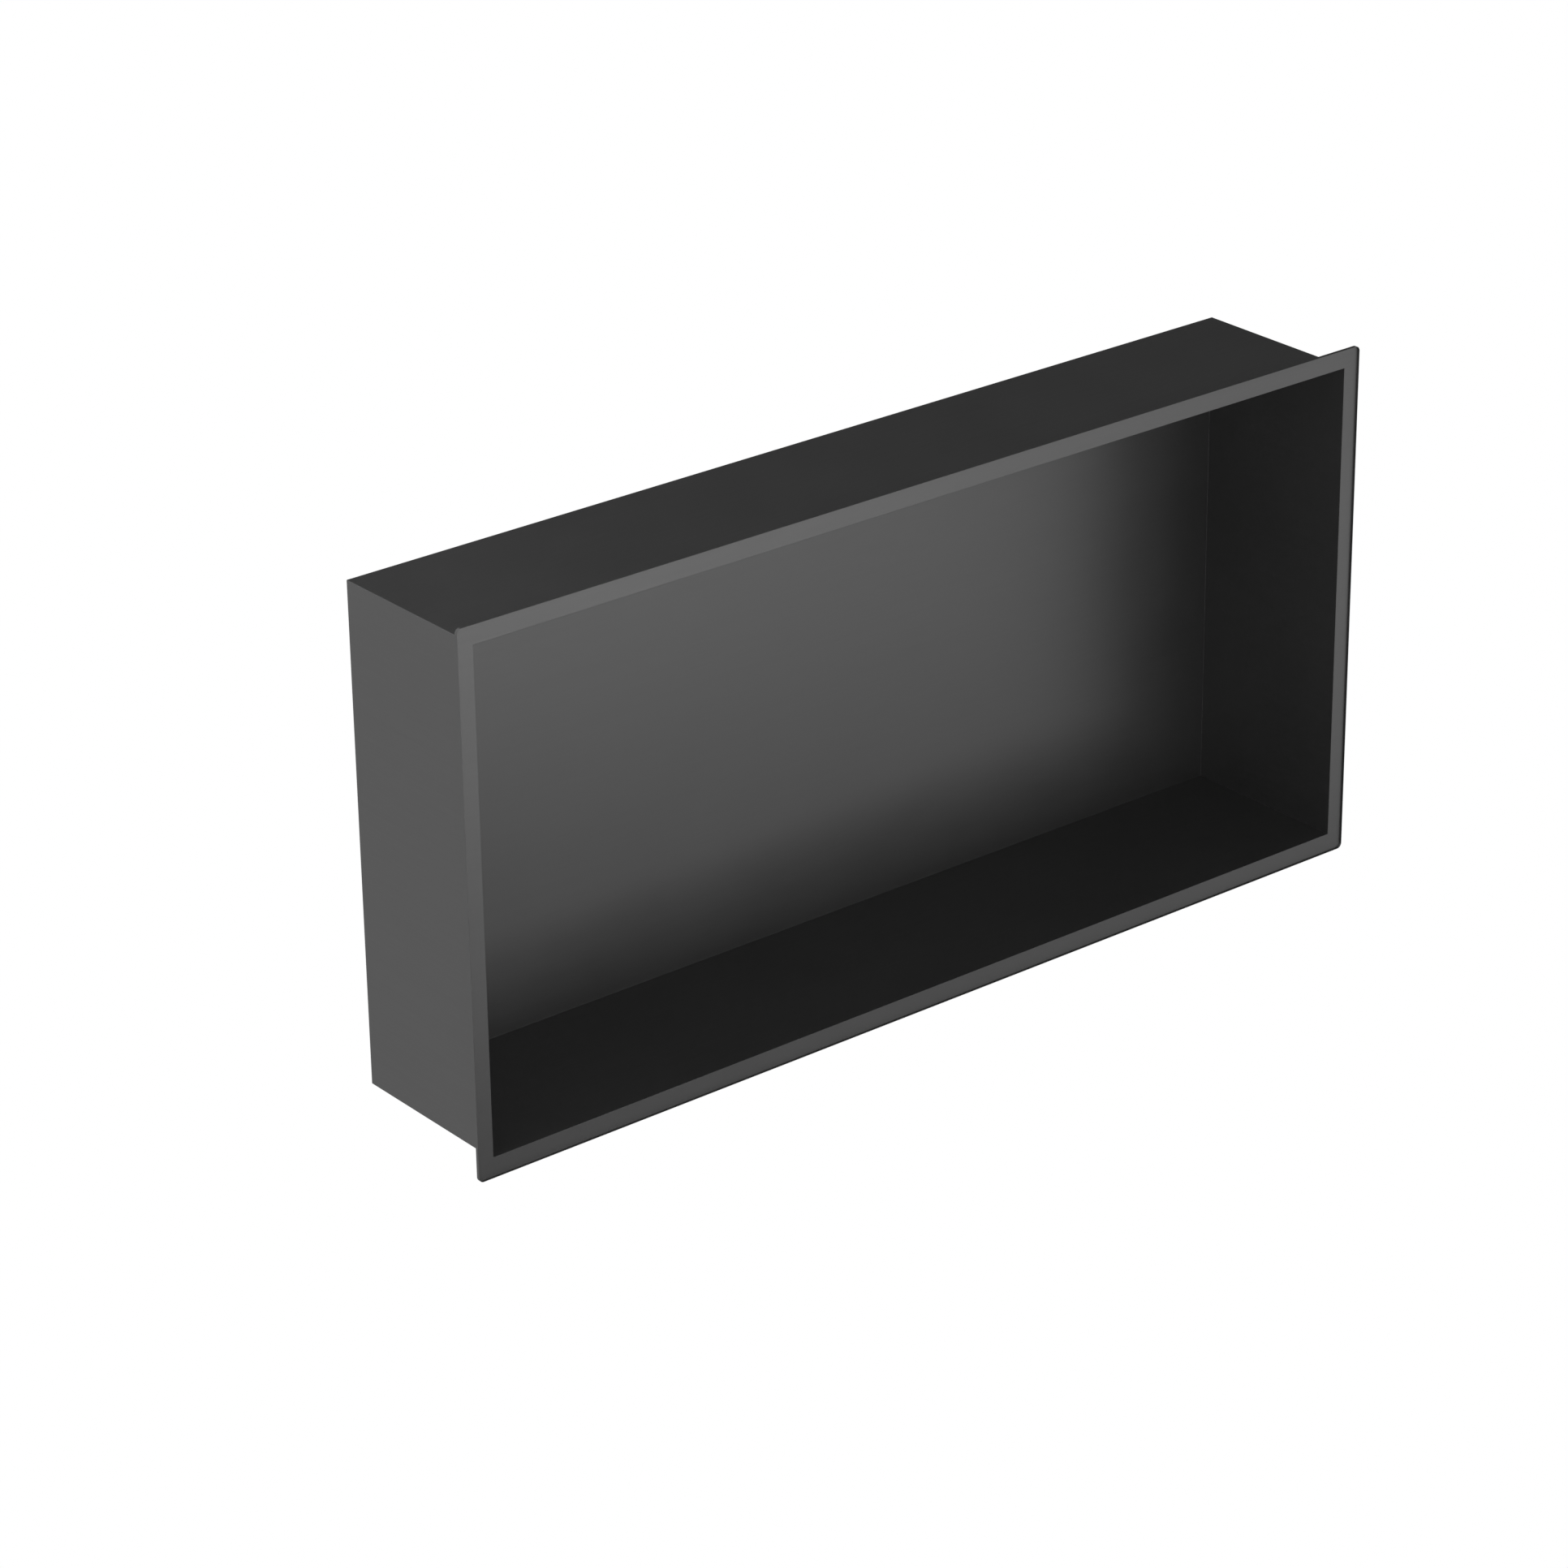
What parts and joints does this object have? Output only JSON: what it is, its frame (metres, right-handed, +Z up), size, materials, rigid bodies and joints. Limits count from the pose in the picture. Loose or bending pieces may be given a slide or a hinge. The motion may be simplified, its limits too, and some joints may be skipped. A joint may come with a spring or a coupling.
{
  "type": "shower niche insert",
  "caption": "Recessed shower wall niche: a shallow rectangular sheet-metal tub with a flat frame flange around its open front, in dark satin gunmetal, for bottles and soap.",
  "frame": {"origin": "centre of the flange's back face, in the plane of the tiled wall", "axes": "+X along the niche, +Y back into the wall, +Z up; the open mouth faces -Y"},
  "size_m": [0.6, 0.1059, 0.3],
  "materials": {
    "gunmetal_steel": "satin"
  },
  "bodies": {
    "root": {"niche_insert": "gunmetal_steel"}
  },
  "joints": []
}
